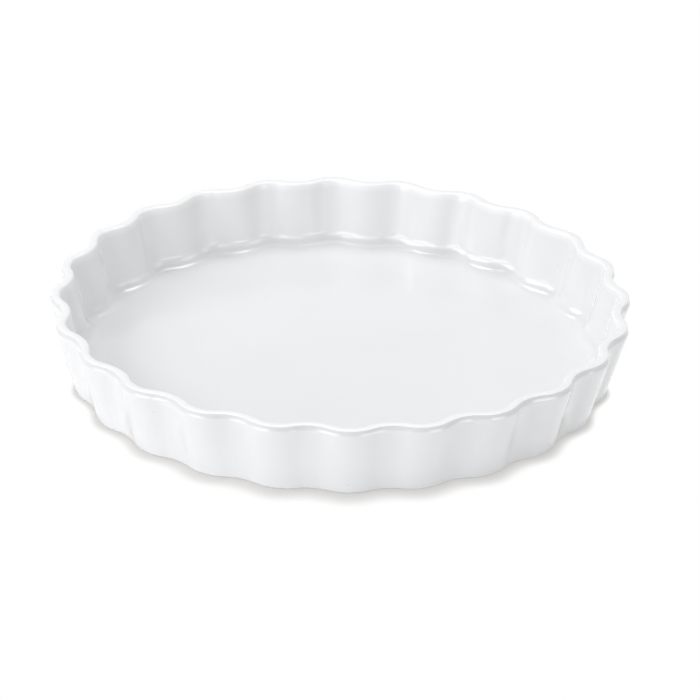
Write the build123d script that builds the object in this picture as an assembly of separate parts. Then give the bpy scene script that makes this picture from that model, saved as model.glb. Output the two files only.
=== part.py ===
from build123d import *

import math
import os

# A round porcelain quiche dish with a fluted wall. It is formed and fired as one piece.
# Lengths are millimetres and angles are degrees. +Z is up, the origin is the centre of the
# foot's underside, and one flute crest points along +X.

# Fluted wall: its outside leans out from the base to an upright band under the lip
flute_count = 24
rim_diameter = 280.0  # over two opposite crests of the rim band
base_diameter = 261.6  # over two opposite crests of the wall's lower end
rim_flute_depth = 4.6
base_flute_depth = 3.2
height = 37.0
rim_band_height = 1.9

# Thickness of the wall, measured level, and of the floor
rim_wall = 4.6
base_wall = 5.6
floor_thickness = 5.0

# Roundings, each made of a few flat steps round an arc
outer_lip_radius = 0.4
outer_lip_steps = 2
inner_lip_radius = 1.2
inner_lip_steps = 3
inner_corner_radius = 7.0
inner_corner_steps = 3
base_edge_radius = 1.0
base_edge_steps = 2

# Foot ring under the wall, and the shallow hollow inside it
foot_height = 0.5
foot_inset = 5.0  # from the valleys of the wall's lower end
foot_width = 5.0
foot_chamfer = 0.2
hollow_rise = 0.8
hollow_chamfer = 0.8

# Worked out from the sizes above
pitch = 360 / flute_count
rim_crest = rim_diameter / 2
base_crest = base_diameter / 2
foot_radius = base_crest - base_flute_depth - foot_inset
hollow_radius = foot_radius - foot_width
hollow_depth = foot_height + hollow_rise
floor_level = hollow_depth + floor_thickness
band_level = height - rim_band_height


def lean_between(low_radius, low_level, high_radius, high_level):
    """The angle, in radians, by which a wall between two radii leans out from upright."""
    return math.atan2(high_radius - low_radius, high_level - low_level)


def mean_radius(crest, depth):
    """The middle between the crests and the valleys."""
    return crest - depth / 2


outer_lean = lean_between(
    mean_radius(base_crest, base_flute_depth),
    foot_height,
    mean_radius(rim_crest, rim_flute_depth),
    band_level,
)
inner_lean = lean_between(
    mean_radius(base_crest, base_flute_depth) - base_wall,
    foot_height,
    mean_radius(rim_crest, rim_flute_depth) - rim_wall,
    height,
)


def flute_arc_radius(crest, valley):
    """The radius that the crest arcs and the valley arcs share, where they meet smoothly.

    Their centres lie on two rays half a pitch apart, at crest - radius and valley + radius
    from the axis, and twice the radius from each other. That is a quadratic in the radius.
    """
    cosine = math.cos(math.pi / flute_count)
    depth = crest - valley
    chord_squared = crest**2 + valley**2 - 2 * crest * valley * cosine
    root = math.sqrt((1 + cosine) ** 2 * depth**2 + 2 * (1 - cosine) * chord_squared)
    return (root - (1 + cosine) * depth) / (2 * (1 - cosine))


def flute_outline(climb_share, inset, level):
    """A level face inside the fluted outline, whose every point is moved in by the inset.

    The crests and the flutes' depth go from those of the base to those of the rim as the
    climb's share goes from 0 to 1.
    """
    crest = base_crest + (rim_crest - base_crest) * climb_share
    depth = base_flute_depth + (rim_flute_depth - base_flute_depth) * climb_share
    valley = crest - depth
    radius = flute_arc_radius(crest, valley)
    crest_centre = Vector(crest - radius, 0, level)
    valley_centre = Vector(valley + radius, 0, level).rotate(Axis.Z, pitch / 2)
    to_valley = (valley_centre - crest_centre).normalized()
    end = crest_centre + to_valley * (radius - inset)
    start = Vector(end.X, -end.Y, level)
    crest_top = Vector(crest - inset, 0, level)
    valley_bottom = Vector(valley - inset, 0, level).rotate(Axis.Z, pitch / 2)
    crest_arc = ThreePointArc(start, crest_top, end)
    valley_arc = ThreePointArc(end, valley_bottom, start.rotate(Axis.Z, pitch))
    turns = [Rot(0, 0, pitch * flute) for flute in range(flute_count)]
    return Face(Wire([turn * arc for turn in turns for arc in (crest_arc, valley_arc)]))


def outside_outline(level, inset):
    """The outside's outline at a level: it leans out up to the rim band, then goes straight."""
    share = min((level - foot_height) / (band_level - foot_height), 1)
    return flute_outline(share, inset, level)


def inside_outline(level, inset):
    """The inside's outline at a level, one wall in from the outside's straight line."""
    share = (level - foot_height) / (height - foot_height)
    wall = base_wall + (rim_wall - base_wall) * share
    return flute_outline(share, wall + inset, level)


def rounding(radius, lean, steps):
    """(distance from a level plane, distance in from a wall) round the corner between them.

    The arc touches the plane at its first point and the wall, which leans out as it leaves
    the plane, at its last.
    """
    turn = math.pi / 2 - lean
    for step in range(steps + 1):
        angle = turn * step / steps
        rise = radius - radius * math.cos(angle)
        inset = radius / math.cos(lean) - radius * math.sin(angle)
        yield rise, inset + (rise - radius) * math.tan(lean)


def outer_body():
    """The outside, from the rounded lower edge to the rounded outer half of the lip."""
    edge = rounding(base_edge_radius, outer_lean, base_edge_steps)
    lip = reversed(list(rounding(outer_lip_radius, 0, outer_lip_steps)))
    rings = [outside_outline(foot_height + rise, inset) for rise, inset in edge]
    rings.append(outside_outline(band_level, 0))
    rings += [outside_outline(height - rise, inset) for rise, inset in lip]
    return loft(rings, ruled=True)


def inside():
    """The space in the dish, from the rounded corner of its floor to the lip's inner half."""
    corner = rounding(inner_corner_radius, inner_lean, inner_corner_steps)
    lip = reversed(list(rounding(inner_lip_radius, inner_lean, inner_lip_steps)))
    rings = [inside_outline(floor_level + rise, inset) for rise, inset in corner]
    rings += [inside_outline(height - rise, -inset) for rise, inset in lip]
    return loft(rings, ruled=True)


def disc(radius, thickness):
    """A disc that stands on the ground plane."""
    return Cylinder(radius, thickness, align=(Align.CENTER, Align.CENTER, Align.MIN))


def quiche_dish():
    """The whole dish, as one solid."""
    foot = disc(foot_radius, foot_height)
    foot = chamfer(foot.edges().group_by(Axis.Z)[0], foot_chamfer)
    hollow = disc(hollow_radius, hollow_depth)
    hollow = chamfer(hollow.edges().group_by(Axis.Z)[-1], hollow_chamfer)
    dish = outer_body() + foot - inside() - hollow
    foot_face = dish.faces().sort_by(Axis.Z)[0]
    return chamfer(foot_face.inner_wires()[0].edges(), foot_chamfer)


os.makedirs("parts", exist_ok=True)
export_step(quiche_dish(), "parts/quiche_dish.step")
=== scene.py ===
import math

import bpy
import numpy as np
from mathutils import Matrix, Vector


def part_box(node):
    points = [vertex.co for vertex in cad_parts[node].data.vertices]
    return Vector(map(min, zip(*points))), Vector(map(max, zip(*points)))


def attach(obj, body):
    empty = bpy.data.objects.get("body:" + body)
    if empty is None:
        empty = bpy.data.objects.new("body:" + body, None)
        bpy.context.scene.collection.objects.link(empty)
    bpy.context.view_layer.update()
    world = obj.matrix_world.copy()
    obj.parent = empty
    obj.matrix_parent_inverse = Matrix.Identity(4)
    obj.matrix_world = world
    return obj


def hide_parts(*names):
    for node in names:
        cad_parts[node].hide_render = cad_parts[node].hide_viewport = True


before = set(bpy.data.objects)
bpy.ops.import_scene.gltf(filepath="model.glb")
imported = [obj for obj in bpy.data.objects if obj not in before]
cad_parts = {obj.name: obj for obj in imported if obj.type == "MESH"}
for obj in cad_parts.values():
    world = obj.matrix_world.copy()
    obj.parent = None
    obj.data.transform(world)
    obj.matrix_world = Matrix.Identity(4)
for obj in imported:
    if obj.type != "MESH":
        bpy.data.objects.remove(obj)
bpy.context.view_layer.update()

# A fluted porcelain quiche dish. Lengths are metres, +Z is up, and the origin is the centre
# of the foot's underside. A flute crest points along +X.

MM = 0.001
DISH = "quiche_dish"
node_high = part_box(DISH)[1]

# Fluted wall, as in the solid. Walls are measured level
FLUTES = 24
RIM_CREST = node_high[0]
HEIGHT = node_high[2]
BASE_CREST = 130.8 * MM
RIM_FLUTE_DEPTH = 4.6 * MM
BASE_FLUTE_DEPTH = 3.2 * MM
RIM_WALL = 4.6 * MM
BASE_WALL = 5.6 * MM
FLOOR_THICKNESS = 5.0 * MM

# Lip, inner corner and lower edge. The lip's top is crowned between its two roundings
OUTER_LIP_RADIUS = 0.4 * MM
INNER_LIP_RADIUS = 1.2 * MM
LIP_CROWN = 0.12 * MM
INNER_CORNER_RADIUS = 7.0 * MM
BASE_EDGE_RADIUS = 1.0 * MM

# Under the lip's outer edge an upright band is set back from the wall, and a ledge slopes out
# from it to the wall. The ledge's top is measured down from the rim, its tilt from upright,
# and its ease is the share of its height that is rounded at each end
LEDGE_TOP = 1.65 * MM
LEDGE_HEIGHT = 1.35 * MM
LEDGE_TILT = math.radians(22)
LEDGE_EASE = 0.12

# Foot ring and the hollow inside it. The ring is inset from the valleys of the wall's foot
FOOT_HEIGHT = 0.5 * MM
FOOT_INSET = 5.0 * MM
FOOT_WIDTH = 5.0 * MM
FOOT_ROUNDING = 0.2 * MM
HOLLOW_RISE = 0.8 * MM
HOLLOW_ROUNDING = 0.8 * MM

# Glaze thickness as a share of its usual one, which also carries painted shade and light. It is
# thin on the lip and pools in the corner of the floor. It is raised on the band and the ledge
# as painted shade, and the wall is painted a little darker at its top and lighter at its foot.
# From the held share of its height down, the ledge's painted shade fades to the wall's
USUAL_GLAZE = 1.0
LIP_GLAZE = 0.7
BAND_PAINTED_SHADE = 1.46
CORNER_GLAZE = 1.25
UPPER_WALL_PAINTED_SHADE = 1.06
LOWER_WALL_PAINTED_LIGHT = 0.94
LEDGE_HELD_SHARE = 0.4

# Bareness, which goes with the glaze on every point
GLAZED = 0.0
BARE = 1.0

# Worked out
FOOT_RADIUS = BASE_CREST - BASE_FLUTE_DEPTH - FOOT_INSET
HOLLOW_RADIUS = FOOT_RADIUS - FOOT_WIDTH
HOLLOW_LEVEL = FOOT_HEIGHT + HOLLOW_RISE
FLOOR_LEVEL = HOLLOW_LEVEL + FLOOR_THICKNESS
LEDGE_LEVEL = HEIGHT - LEDGE_TOP
WALL_TOP = LEDGE_LEVEL - LEDGE_HEIGHT
BAND_SETBACK = LEDGE_HEIGHT * math.tan(LEDGE_TILT) * (1 - LEDGE_EASE)

# Mesh density: points round the dish, and steps along each stretch of its section
POINTS_PER_FLUTE = 40
AROUND = FLUTES * POINTS_PER_FLUTE
FLOOR_STEPS = 10
CORNER_STEPS = 12
INNER_WALL_STEPS = 8
INNER_LIP_STEPS = 8
LIP_TOP_STEPS = 6
OUTER_LIP_STEPS = 5
LEDGE_STEPS = 12
OUTER_WALL_STEPS = 11
BASE_EDGE_STEPS = 6
FOOT_EDGE_STEPS = 3
HOLLOW_STEPS = 6


def flute_radius(angle, climb, inset):
    """Polar radius of the fluted outline, which is made of arcs that meet smoothly.

    Crest and valley arcs share one radius R, the root of a quadratic: their centres lie at
    crest - R and valley + R on rays half a pitch apart, 2 R from each other. Moving the
    outline in by the inset makes the crest arc R - inset and the valley arc R + inset. A
    ray meets an arc about a centre at distance d at d cos a +- sqrt(rho^2 - d^2 sin^2 a).
    """
    crest = BASE_CREST + (RIM_CREST - BASE_CREST) * climb
    depth = BASE_FLUTE_DEPTH + (RIM_FLUTE_DEPTH - BASE_FLUTE_DEPTH) * climb
    valley = crest - depth
    half = math.pi / FLUTES
    cosine = math.cos(half)
    chord2 = crest**2 + valley**2 - 2 * crest * valley * cosine
    root = np.sqrt((1 + cosine) ** 2 * depth**2 + 2 * (1 - cosine) * chord2)
    arc = (root - (1 + cosine) * depth) / (2 * (1 - cosine))
    crest_centre = crest - arc
    valley_centre = valley + arc
    lean_x = valley_centre * cosine - crest_centre
    lean_y = valley_centre * math.sin(half)
    span = np.hypot(lean_x, lean_y)
    joint_x = crest_centre + lean_x / span * (arc - inset)
    joint_y = lean_y / span * (arc - inset)
    joint = np.arctan2(joint_y, joint_x)
    turn = np.abs((angle + half) % (2 * half) - half)
    on_crest = turn <= joint
    a = np.where(on_crest, turn, half - turn)
    centre = np.where(on_crest, crest_centre, valley_centre)
    radius = np.where(on_crest, arc - inset, arc + inset)
    reach = np.sqrt(radius**2 - (centre * np.sin(a)) ** 2)
    return centre * np.cos(a) + np.where(on_crest, reach, -reach)


def outside_radius(angle, level, inset):
    """The outside at a level, less an inset: it leans out up to the ledge, then is upright."""
    climb = np.minimum((level - FOOT_HEIGHT) / (WALL_TOP - FOOT_HEIGHT), 1)
    return flute_radius(angle, climb, inset)


def inside_radius(angle, level, inset):
    """The inside at a level: one wall in from a straight line from the base to the rim."""
    climb = (level - FOOT_HEIGHT) / (HEIGHT - FOOT_HEIGHT)
    wall = BASE_WALL + (RIM_WALL - BASE_WALL) * climb
    return flute_radius(angle, climb, wall + inset)


def lean_of(radius_at, angle, low, high):
    """How far a wall leans out, in radians, square to its outline, at each angle.

    The radius climbs by (upper - lower) / rise at a fixed angle. Square to the outline that
    is multiplied by r / sqrt(r^2 + r'^2).
    """
    lower = radius_at(angle, low, 0)
    upper = radius_at(angle, high, 0)
    middle = (lower + upper) / 2
    slope = np.gradient(middle, angle)
    square = middle / np.hypot(middle, slope)
    return np.arctan((upper - lower) / (high - low) * square)


def rounding(radius, lean, steps):
    """(distance from a level plane, distance in from a leaning wall) round their corner.

    The arc's angle goes from 0, on the plane, to 90 degrees less the lean, on the wall. The
    rise is r - r cos and the inset r / cos(lean) - r sin + (rise - r) tan(lean).
    """
    share = np.linspace(0, 1, steps + 1)[:, None]
    turn = (math.pi / 2 - lean) * share
    rise = radius - radius * np.cos(turn)
    inset = radius / np.cos(lean) - radius * np.sin(turn) + (rise - radius) * np.tan(lean)
    return rise, inset


def quarter_turn(radius, steps):
    """(distance back, distance still to go) round a quarter circle: r - r cos and r - r sin."""
    turn = np.linspace(0, math.pi / 2, steps + 1)
    return list(zip(radius * (1 - np.cos(turn)), radius * (1 - np.sin(turn))))


def inner_shares(steps):
    """Evenly spaced shares of a stretch that is cut into steps, without its two ends."""
    return np.linspace(0, 1, steps + 1)[1:-1]


def eased_ramp(share, ease):
    """A straight ramp from 0 to 1 whose ends are eased, each over a share of its length.

    Over an eased end the slope grows evenly, so the height there is share^2 / (2 ease) times
    the slope 1 / (1 - ease) of the straight middle.
    """
    slope = 1 / (1 - ease)
    if share < ease:
        return slope * share**2 / (2 * ease)
    if share > 1 - ease:
        return 1 - slope * (1 - share) ** 2 / (2 * ease)
    return slope * (share - ease / 2)


def inside_rows(angle):
    """The floor from its middle outwards, its rounded corner, and the wall up to the lip."""
    lean = lean_of(inside_radius, angle, FLOOR_LEVEL, HEIGHT)
    rise, inset = rounding(INNER_CORNER_RADIUS, lean, CORNER_STEPS)
    floor_edge = inside_radius(angle, FLOOR_LEVEL, inset[0])
    for share in inner_shares(FLOOR_STEPS):
        yield floor_edge * share, FLOOR_LEVEL, USUAL_GLAZE, GLAZED
    for up, inwards, share in zip(rise, inset, np.linspace(0, 1, CORNER_STEPS + 1)):
        pooled = USUAL_GLAZE + (CORNER_GLAZE - USUAL_GLAZE) * math.sin(math.pi * share) ** 2
        level = FLOOR_LEVEL + up
        yield inside_radius(angle, level, inwards), level, pooled, GLAZED
    low = FLOOR_LEVEL + rise[-1]
    high = HEIGHT - rounding(INNER_LIP_RADIUS, lean, INNER_LIP_STEPS)[0][-1]
    for share in inner_shares(INNER_WALL_STEPS):
        level = low + (high - low) * share
        yield inside_radius(angle, level, 0), level, USUAL_GLAZE, GLAZED


def lip_rows(angle):
    """The lip's inner rounding, its crowned top and its outer rounding.

    The crown rises above the roundings by 1 - (2 share - 1)^2 of its height, where the share
    goes from 0 to 1 across the top.
    """
    lean = lean_of(inside_radius, angle, FLOOR_LEVEL, HEIGHT)
    rise, inset = rounding(INNER_LIP_RADIUS, lean, INNER_LIP_STEPS)
    edge_level = HEIGHT - LIP_CROWN
    for down, inwards in zip(rise[::-1], inset[::-1]):
        inner_edge = inside_radius(angle, HEIGHT - down, -inwards)
        yield inner_edge, edge_level - down, LIP_GLAZE, GLAZED
    rise, inset = rounding(OUTER_LIP_RADIUS, np.zeros_like(angle), OUTER_LIP_STEPS)
    outer_edge = outside_radius(angle, HEIGHT, BAND_SETBACK + inset[0])
    for share in inner_shares(LIP_TOP_STEPS):
        radius = inner_edge + (outer_edge - inner_edge) * share
        yield radius, HEIGHT - LIP_CROWN * (2 * share - 1) ** 2, LIP_GLAZE, GLAZED
    # Over the outer rounding the lip's thin glaze gives way to the band's painted shade
    for down, inwards, share in zip(rise, inset, np.linspace(0, 1, OUTER_LIP_STEPS + 1)):
        level = edge_level - down
        glaze_with_shade = LIP_GLAZE + (BAND_PAINTED_SHADE - LIP_GLAZE) * share
        yield outside_radius(angle, level, BAND_SETBACK + inwards), level, glaze_with_shade, GLAZED


def outside_rows(angle):
    """The ledge, the wall below it and the rounded lower edge."""
    # The ledge keeps the band's painted shade, and from its held share down it fades to the
    # wall's
    for share in np.linspace(0, 1, LEDGE_STEPS + 1):
        level = LEDGE_LEVEL - LEDGE_HEIGHT * share
        setback = BAND_SETBACK * (1 - eased_ramp(share, LEDGE_EASE))
        shade_faded = max(share - LEDGE_HELD_SHARE, 0) / (1 - LEDGE_HELD_SHARE)
        glaze_with_shade = BAND_PAINTED_SHADE + (UPPER_WALL_PAINTED_SHADE - BAND_PAINTED_SHADE) * shade_faded
        yield outside_radius(angle, level, setback), level, glaze_with_shade, GLAZED
    lean = lean_of(outside_radius, angle, FOOT_HEIGHT, WALL_TOP)
    rise, inset = rounding(BASE_EDGE_RADIUS, lean, BASE_EDGE_STEPS)
    wall_foot = FOOT_HEIGHT + rise[-1]
    # The wall is painted darker towards its top and lighter towards its foot: painted shade
    # above, painted light below
    for share in inner_shares(OUTER_WALL_STEPS):
        level = WALL_TOP + (wall_foot - WALL_TOP) * share
        climb = (level - FOOT_HEIGHT) / (WALL_TOP - FOOT_HEIGHT)
        glaze_with_shade = LOWER_WALL_PAINTED_LIGHT + (UPPER_WALL_PAINTED_SHADE - LOWER_WALL_PAINTED_LIGHT) * climb
        yield outside_radius(angle, level, 0), level, glaze_with_shade, GLAZED
    # The rounded lower edge keeps the foot's painted light
    for up, inwards in zip(rise[::-1], inset[::-1]):
        level = FOOT_HEIGHT + up
        yield outside_radius(angle, level, inwards), level, LOWER_WALL_PAINTED_LIGHT, GLAZED


def foot_rows():
    """The foot ring, bare underneath, and the hollow to its middle."""
    edge = quarter_turn(FOOT_ROUNDING, FOOT_EDGE_STEPS)
    yield FOOT_RADIUS, FOOT_HEIGHT, USUAL_GLAZE, GLAZED
    for back, level in edge:
        yield FOOT_RADIUS - back, level, 0, BARE
    for back, level in edge[::-1]:
        yield HOLLOW_RADIUS + back, level, 0, BARE
    for back, down in quarter_turn(HOLLOW_ROUNDING, FOOT_EDGE_STEPS):
        yield HOLLOW_RADIUS - back, HOLLOW_LEVEL - down, USUAL_GLAZE, GLAZED
    for share in inner_shares(HOLLOW_STEPS)[::-1]:
        yield HOLLOW_RADIUS * share, HOLLOW_LEVEL, USUAL_GLAZE, GLAZED


def section_rows(angle):
    """Arrays of the radius, level, glaze and bareness of the dish's section.

    They run from the floor's middle over the lip, down the outside and over the foot ring to
    the hollow's middle, with a row for each point of the section and a column for each angle.
    Glaze is its thickness as a share of the usual one, with painted shade added on the band,
    ledge and wall's top and painted light at the wall's foot, and bareness is 1 where there is
    none.
    """
    flat = np.zeros_like(angle)
    rows = [*inside_rows(angle), *lip_rows(angle), *outside_rows(angle), *foot_rows()]
    return [np.array([value + flat for value in column]) for column in zip(*rows)]


def point_attribute(mesh, name, rows):
    """A number for each point of the mesh, for its material to read. Poles take a mean."""
    stored = mesh.attributes.new(name, "FLOAT", "POINT")
    values = np.append(rows.ravel(), [rows[0].mean(), rows[-1].mean()])
    stored.data.foreach_set("value", values.astype(np.float32))


def closed_surface(name, radius, level, angle):
    """A closed mesh from rows of (radius, level), with a pole point at each end.

    Point (row, angle) is (r cos, r sin, z). Quads join neighbouring rows and angles, and
    fans join the first and last rows to their poles.
    """
    rows, around = radius.shape
    points = np.stack([radius * np.cos(angle), radius * np.sin(angle), level], axis=-1)
    first = np.array([[0, 0, level[0].mean()]])
    last = np.array([[0, 0, level[-1].mean()]])
    vertices = np.vstack([points.reshape(-1, 3), first, last])
    row, column = np.meshgrid(np.arange(rows - 1), np.arange(around), indexing="ij")
    beside = (column + 1) % around
    corners = [row * around + column, row * around + beside]
    corners += [(row + 1) * around + beside, (row + 1) * around + column]
    quads = np.stack(corners, axis=-1).reshape(-1, 4)[:, ::-1]
    ring = np.arange(around)
    after = (ring + 1) % around
    start_fan = np.stack([np.full(around, rows * around), ring, after], axis=-1)
    end = (rows - 1) * around
    end_fan = np.stack([np.full(around, rows * around + 1), end + after, end + ring], axis=-1)
    faces = quads.tolist() + start_fan.tolist() + end_fan.tolist()
    mesh = bpy.data.meshes.new(name)
    mesh.from_pydata(vertices.tolist(), [], faces)
    mesh.polygons.foreach_set("use_smooth", np.ones(len(faces), dtype=bool))
    mesh.update()
    piece = bpy.data.objects.new(name, mesh)
    bpy.context.scene.collection.objects.link(piece)
    return piece


# Shader nodes


def fill(tree, socket, value):
    """Links an output to an input, or sets the input to a number or colour."""
    if isinstance(value, bpy.types.NodeSocket):
        tree.links.new(value, socket)
    else:
        socket.default_value = value


def node(tree, kind, **sockets):
    """A shader node, with its inputs given by name."""
    made = tree.nodes.new(kind)
    for name, value in sockets.items():
        fill(tree, made.inputs[name.replace("_", " ")], value)
    return made


def maths(tree, operation, first, second=0.0):
    """The output of a maths node on two numbers or outputs."""
    made = tree.nodes.new("ShaderNodeMath")
    made.operation = operation
    for socket, value in zip(made.inputs, (first, second)):
        fill(tree, socket, value)
    return made.outputs[0]


def blend(tree, share, first, second, how="MIX"):
    """The output of a colour mix, where the second colour counts by the share."""
    made = tree.nodes.new("ShaderNodeMix")
    made.data_type = "RGBA"
    made.blend_type = how
    factor, colour_a, colour_b = made.inputs[0], made.inputs[6], made.inputs[7]
    for socket, value in ((factor, share), (colour_a, first), (colour_b, second)):
        fill(tree, socket, value)
    return made.outputs[2]


def ranged(tree, value, low, high, to_low=0.0, to_high=1.0):
    """The value's place between low and high, eased at both ends and held to them."""
    made = node(tree, "ShaderNodeMapRange", Value=value, From_Min=low, From_Max=high)
    made.inputs["To Min"].default_value = to_low
    made.inputs["To Max"].default_value = to_high
    made.interpolation_type = "SMOOTHSTEP"
    return made.outputs["Result"]


def noise(tree, place, scale, detail, roughness):
    """The value of a noise pattern, whose scale is in waves a metre."""
    kind = "ShaderNodeTexNoise"
    made = node(tree, kind, Vector=place, Scale=scale, Detail=detail, Roughness=roughness)
    return made.outputs["Fac"]


def attribute(tree, name):
    """The number that the mesh stores under a name."""
    made = tree.nodes.new("ShaderNodeAttribute")
    made.attribute_name = name
    return made.outputs["Fac"]


def empty_material(name):
    """A new material and its node tree, with no nodes in it."""
    material = bpy.data.materials.new(name)
    material.use_nodes = True
    material.node_tree.nodes.clear()
    return material, material.node_tree


def surface_output(tree, shader, kind="ShaderNodeOutputMaterial"):
    """Makes a shader node the surface of its material or world."""
    tree.links.new(shader.outputs[0], tree.nodes.new(kind).inputs[0])


# Porcelain. The body's colour goes from the first to the second as the glaze's thickness goes
# from thin to thick, and the same scale gives painted shade on the band, the ledge and the
# wall's top and painted light at the wall's foot. Waves a metre set the size of each pattern
THIN_GLAZE = 0.7
THICK_GLAZE = 1.6
THIN_GLAZE_AND_LIGHT_COLOUR = (0.93, 0.935, 0.945, 1)
THICK_GLAZE_AND_SHADE_COLOUR = (0.70, 0.711, 0.725, 1)
PINHOLE_COLOUR = (0.66, 0.65, 0.63, 1)
DARK_CLAY_COLOUR = (0.72, 0.68, 0.61, 1)
PALE_CLAY_COLOUR = (0.86, 0.83, 0.77, 1)
CLOUD_WAVES = 22.0
CLOUD_DARKEST = 0.985
GRAIN_WAVES = 1400.0
GLAZE_WAVES = 45.0
PEEL_WAVES = 420.0
GLAZE_ROUGHNESS = 0.3
CLAY_ROUGHNESS = 0.85
COAT_ROUGHNESS = 0.06

# Pinholes: cells a metre, the share of cells that have one, and its core's and rim's distance
# from the cell's middle as a share of the cell
PINHOLE_CELLS = 170.0
PINHOLE_SHARE = 0.07
PINHOLE_CORE = 0.03
PINHOLE_RIM = 0.075

# Relief: the height of the slow waviness, and what the rest has as shares of it
RELIEF_HEIGHT = 0.06 * MM
PEEL_SHARE = 0.06
PIT_SHARE = 0.6
GRAIN_SHARE = 0.5


def pinholes(tree, place):
    """1 in the middle of a few cells of a cell pattern, and 0 away from it."""
    cell = node(tree, "ShaderNodeTexVoronoi", Vector=place, Scale=PINHOLE_CELLS)
    near = ranged(tree, cell.outputs["Distance"], PINHOLE_CORE, PINHOLE_RIM, 1.0, 0.0)
    chance = node(tree, "ShaderNodeSeparateColor", Color=cell.outputs["Color"]).outputs[0]
    picked = maths(tree, "GREATER_THAN", chance, 1 - PINHOLE_SHARE)
    return maths(tree, "MULTIPLY", near, picked)


def porcelain_colour(tree, place, bare, pinhole, grain):
    """The body seen through its glaze, with painted shade on the band, ledge and wall's top and
    painted light at the wall's foot, faintly clouded and pitted, or else the bare clay.
    """
    # The glaze number holds the glaze's thickness and also the painted shade and light of the
    # band, ledge and wall
    depth = node(
        tree, "ShaderNodeMapRange", Value=attribute(tree, "glaze"),
        From_Min=THIN_GLAZE, From_Max=THICK_GLAZE,
    )
    tinted = blend(tree, depth.outputs["Result"], THIN_GLAZE_AND_LIGHT_COLOUR, THICK_GLAZE_AND_SHADE_COLOUR)
    cloud = ranged(tree, noise(tree, place, CLOUD_WAVES, 2.0, 0.5), 0.3, 0.7, CLOUD_DARKEST, 1.0)
    clouded = blend(tree, 1.0, tinted, cloud, "MULTIPLY")
    pitted = blend(tree, pinhole, clouded, PINHOLE_COLOUR)
    clay = blend(tree, grain, DARK_CLAY_COLOUR, PALE_CLAY_COLOUR)
    return blend(tree, bare, pitted, clay)


def porcelain_relief(tree, place, bare, pinhole, grain):
    """A slow waviness, a very fine orange peel, the pinholes' pits and the bare clay's grain."""
    wave = noise(tree, place, GLAZE_WAVES, 1.0, 0.4)
    peel = maths(tree, "MULTIPLY", noise(tree, place, PEEL_WAVES, 1.0, 0.5), PEEL_SHARE)
    smooth = maths(tree, "ADD", wave, peel)
    pitted = maths(tree, "SUBTRACT", smooth, maths(tree, "MULTIPLY", pinhole, PIT_SHARE))
    coarse = maths(tree, "MULTIPLY", maths(tree, "MULTIPLY", grain, bare), GRAIN_SHARE)
    height = maths(tree, "ADD", pitted, coarse)
    bump = node(tree, "ShaderNodeBump", Height=height, Strength=1.0, Distance=RELIEF_HEIGHT)
    return bump.outputs["Normal"]


def glazed_porcelain():
    """White porcelain under a clear glaze, and bare on the foot ring.

    The glaze tints the body more where it is thick, and the same tint gives painted shade on the
    band, ledge and wall's top and painted light at the wall's foot. The bare clay is cream, matt
    and grainy.
    """
    material, tree = empty_material("glazed_porcelain")
    place = tree.nodes.new("ShaderNodeTexCoord").outputs["Object"]
    bare = attribute(tree, "bare")
    pinhole = pinholes(tree, place)
    grain = noise(tree, place, GRAIN_WAVES, 3.0, 0.6)
    rough = node(
        tree, "ShaderNodeMapRange", Value=bare, To_Min=GLAZE_ROUGHNESS, To_Max=CLAY_ROUGHNESS,
    )
    shader = node(
        tree, "ShaderNodeBsdfPrincipled",
        Base_Color=porcelain_colour(tree, place, bare, pinhole, grain),
        Roughness=rough.outputs["Result"],
        Normal=porcelain_relief(tree, place, bare, pinhole, grain),
        Coat_Weight=maths(tree, "SUBTRACT", 1.0, bare),
        Coat_Roughness=COAT_ROUGHNESS,
        IOR=1.5,
    )
    surface_output(tree, shader)
    return material


# Camera, from the lines of the rim and the base in the photograph. It aims a little right of
# and above the middle of the base. Its focal length is 3355 pixels of a picture that is 700
# wide, and its sensor's width is in millimetres
CAMERA_DISTANCE = 1634.4 * MM
CAMERA_AZIMUTH = math.radians(-2.46)
CAMERA_ELEVATION = math.radians(27.09)
CAMERA_ROLL = math.radians(1.47)
AIM_RIGHT = 4.98 * MM
AIM_UP = 6.20 * MM
FOCAL_SHARE = 3355 / 700
SENSOR_WIDTH = 36.0

# Background and sky. The camera and the gloss see the background's strength, and the dish is
# lit with the sky's
WHITE = (1, 1, 1, 1)
BACKGROUND = 1.0
SKY_LIGHT = 0.30

# Floor, and the shadow on it beside the base. The shadow has a width all round and a further
# one in front, and the real share of it is the floor's own shading
FLOOR_HALF = 3.0
FLOOR_COLOUR = (0.96, 0.96, 0.96, 1)
SHADOW_COLOUR = (0.645, 0.632, 0.615, 1)
SHADOW_REAL_SHARE = 0.3
SHADOW_WIDTH = 2.5 * MM
SHADOW_FRONT_WIDTH = 11.0 * MM

# Each lamp's name, azimuth in degrees from the camera's side, distance from the axis, level,
# width, height and watts. The first two are low and wide, and make the dashes under the lip
LAMPS = (
    ("left_softbox", -48, 1.6, 0.385, 1.13, 0.3, 3.2),
    ("right_softbox", 48, 1.6, 0.385, 1.13, 0.2, 2.4),
    ("front_softbox", 0, 1.8, 1.4, 1.6, 0.8, 5.2),
    ("left_front_softbox", -28, 1.8, 1.0, 0.8, 0.8, 5.1),
    ("left_high_softbox", -90, 1.6, 1.1, 1.0, 0.8, 9.3),
    ("right_high_softbox", 90, 1.6, 1.1, 1.0, 0.8, 3.75),
    ("back_softbox", 180, 0.9, 1.5, 1.0, 0.6, 9.0),
    ("left_middle_softbox", -60, 1.5, 1.2, 0.8, 0.6, 4.4),
)


def seen_not_lit(tree):
    """1 where a camera, glossy or transmission ray asks, and 0 for light on the object."""
    path = tree.nodes.new("ShaderNodeLightPath").outputs
    seen = maths(tree, "MAXIMUM", path["Is Camera Ray"], path["Is Glossy Ray"])
    return maths(tree, "MAXIMUM", seen, path["Is Transmission Ray"])


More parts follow.
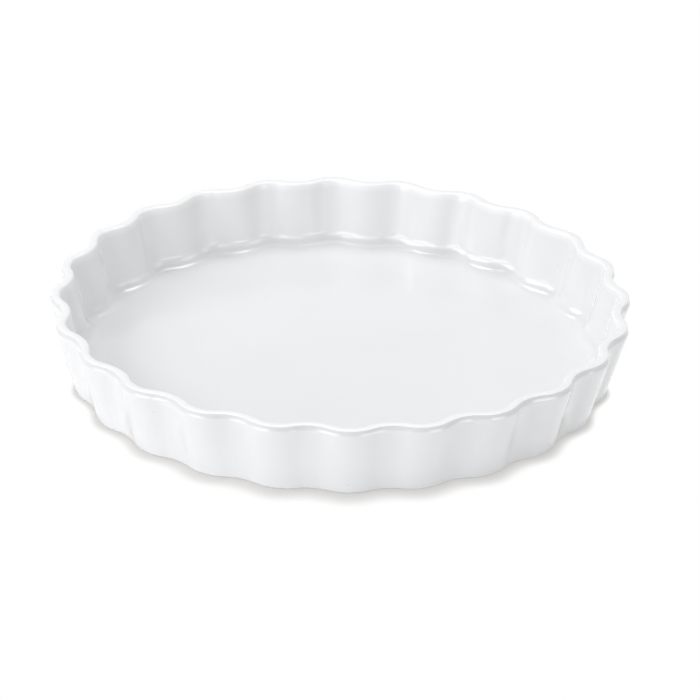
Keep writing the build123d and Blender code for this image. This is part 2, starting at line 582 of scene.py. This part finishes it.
def base_gap(tree, place):
    """Two values at a place on the floor: the gap out to it from the fluted base, and a share
    that is 1 straight in front of the dish and 0 at its sides and behind it.

    The gap is the distance from the middle, less the base's mean radius and half its flute
    depth times the cosine of 24 times the angle. The share is the square of the cosine of
    the angle from straight in front.
    """
    across, along, _ = node(tree, "ShaderNodeSeparateXYZ", Vector=place).outputs
    across2 = maths(tree, "POWER", across, 2.0)
    along2 = maths(tree, "POWER", along, 2.0)
    reach = maths(tree, "SQRT", maths(tree, "ADD", across2, along2))
    turn = maths(tree, "MULTIPLY", maths(tree, "ARCTAN2", along, across), FLUTES)
    wave = maths(tree, "MULTIPLY", maths(tree, "COSINE", turn), BASE_FLUTE_DEPTH / 2)
    edge = maths(tree, "ADD", BASE_CREST - BASE_FLUTE_DEPTH / 2, wave)
    cosine = maths(tree, "DIVIDE", along, maths(tree, "MULTIPLY", reach, -1.0))
    front = maths(tree, "POWER", maths(tree, "MAXIMUM", cosine, 0.0), 2.0)
    return maths(tree, "SUBTRACT", reach, edge), front


def white_floor():
    """A white floor. Where it is seen, it is plain white away from the dish.

    Next to the base it takes a warm grey shadow, which reaches furthest in front of the dish,
    and which holds a share of the floor's own shading.
    """
    material, tree = empty_material("white_floor")
    place = tree.nodes.new("ShaderNodeTexCoord").outputs["Object"]
    gap, front = base_gap(tree, place)
    further = maths(tree, "MULTIPLY", front, SHADOW_FRONT_WIDTH)
    width = maths(tree, "ADD", further, SHADOW_WIDTH)
    away = ranged(tree, maths(tree, "DIVIDE", gap, width), 0.0, 1.0)
    beside = maths(tree, "SUBTRACT", 1.0, away)
    real = maths(tree, "MULTIPLY", beside, SHADOW_REAL_SHARE)
    share = maths(tree, "MULTIPLY", maths(tree, "SUBTRACT", 1.0, real), seen_not_lit(tree))
    diffuse = node(tree, "ShaderNodeBsdfDiffuse", Color=FLOOR_COLOUR)
    seen = blend(tree, away, SHADOW_COLOUR, WHITE)
    white = node(tree, "ShaderNodeEmission", Color=seen, Strength=BACKGROUND)
    both = node(tree, "ShaderNodeMixShader", Fac=share)
    tree.links.new(diffuse.outputs[0], both.inputs[1])
    tree.links.new(white.outputs[0], both.inputs[2])
    surface_output(tree, both)
    return material


def make_floor():
    """The plain floor that the dish stands on."""
    half = FLOOR_HALF
    mesh = bpy.data.meshes.new("floor")
    corners = [(-half, -half, 0), (half, -half, 0), (half, half, 0), (-half, half, 0)]
    mesh.from_pydata(corners, [], [(0, 1, 2, 3)])
    floor = bpy.data.objects.new("floor", mesh)
    bpy.context.scene.collection.objects.link(floor)
    mesh.materials.append(white_floor())


def make_world():
    """A grey world for light, which the camera and the gloss see as white."""
    world = bpy.data.worlds.new("studio")
    bpy.context.scene.world = world
    world.use_nodes = True
    tree = world.node_tree
    tree.nodes.clear()
    light = node(tree, "ShaderNodeBackground", Color=WHITE, Strength=SKY_LIGHT)
    white = node(tree, "ShaderNodeBackground", Color=WHITE, Strength=BACKGROUND)
    both = node(tree, "ShaderNodeMixShader", Fac=seen_not_lit(tree))
    tree.links.new(light.outputs[0], both.inputs[1])
    tree.links.new(white.outputs[0], both.inputs[2])
    surface_output(tree, both, "ShaderNodeOutputWorld")


def softbox(name, azimuth, distance, level, width, height, watts):
    """A soft lamp that faces the dish, at an azimuth in degrees from the camera's side."""
    lamp = bpy.data.lights.new(name, "AREA")
    lamp.shape = "RECTANGLE"
    lamp.size = width
    lamp.size_y = height
    lamp.energy = watts
    holder = bpy.data.objects.new(name, lamp)
    bpy.context.scene.collection.objects.link(holder)
    turn = CAMERA_AZIMUTH + math.radians(azimuth - 90)
    place = Vector((distance * math.cos(turn), distance * math.sin(turn), level))
    holder.location = place
    holder.rotation_euler = (-place).to_track_quat("-Z", "Y").to_euler()


def level_axes(back):
    """The right and up directions of a level camera, from the direction behind it."""
    right = Vector((0, 0, 1)).cross(back).normalized()
    return right, back.cross(right)


def make_camera():
    """The camera that the photograph was taken with, turned to its aim and then rolled."""
    lens = bpy.data.cameras.new("camera")
    lens.sensor_width = SENSOR_WIDTH
    lens.lens = FOCAL_SHARE * SENSOR_WIDTH
    camera = bpy.data.objects.new("camera", lens)
    bpy.context.scene.collection.objects.link(camera)
    a, e = CAMERA_AZIMUTH, CAMERA_ELEVATION
    back = Vector((math.sin(a) * math.cos(e), -math.cos(a) * math.cos(e), math.sin(e)))
    place = back * CAMERA_DISTANCE
    right, up = level_axes(back)
    back = (place - right * AIM_RIGHT - up * AIM_UP).normalized()
    right, up = level_axes(back)
    rolled_right = right * math.cos(CAMERA_ROLL) + up * math.sin(CAMERA_ROLL)
    rolled_up = up * math.cos(CAMERA_ROLL) - right * math.sin(CAMERA_ROLL)
    turn = Matrix((rolled_right, rolled_up, back)).transposed()
    camera.matrix_world = Matrix.Translation(place) @ turn.to_4x4()
    bpy.context.scene.camera = camera


angles = np.arange(AROUND) * 2 * math.pi / AROUND
radius, level, glaze, bare = section_rows(angles)
dish = closed_surface("dish", radius, level, angles)
# The glaze numbers also carry painted shade on the band, ledge and wall's top and painted light
# at the wall's foot
point_attribute(dish.data, "glaze", glaze)
point_attribute(dish.data, "bare", bare)
dish.data.materials.append(glazed_porcelain())
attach(dish, "root")
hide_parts(DISH)

make_floor()
make_world()
for lamp in LAMPS:
    softbox(*lamp)
make_camera()
bpy.context.scene.view_settings.view_transform = "Standard"
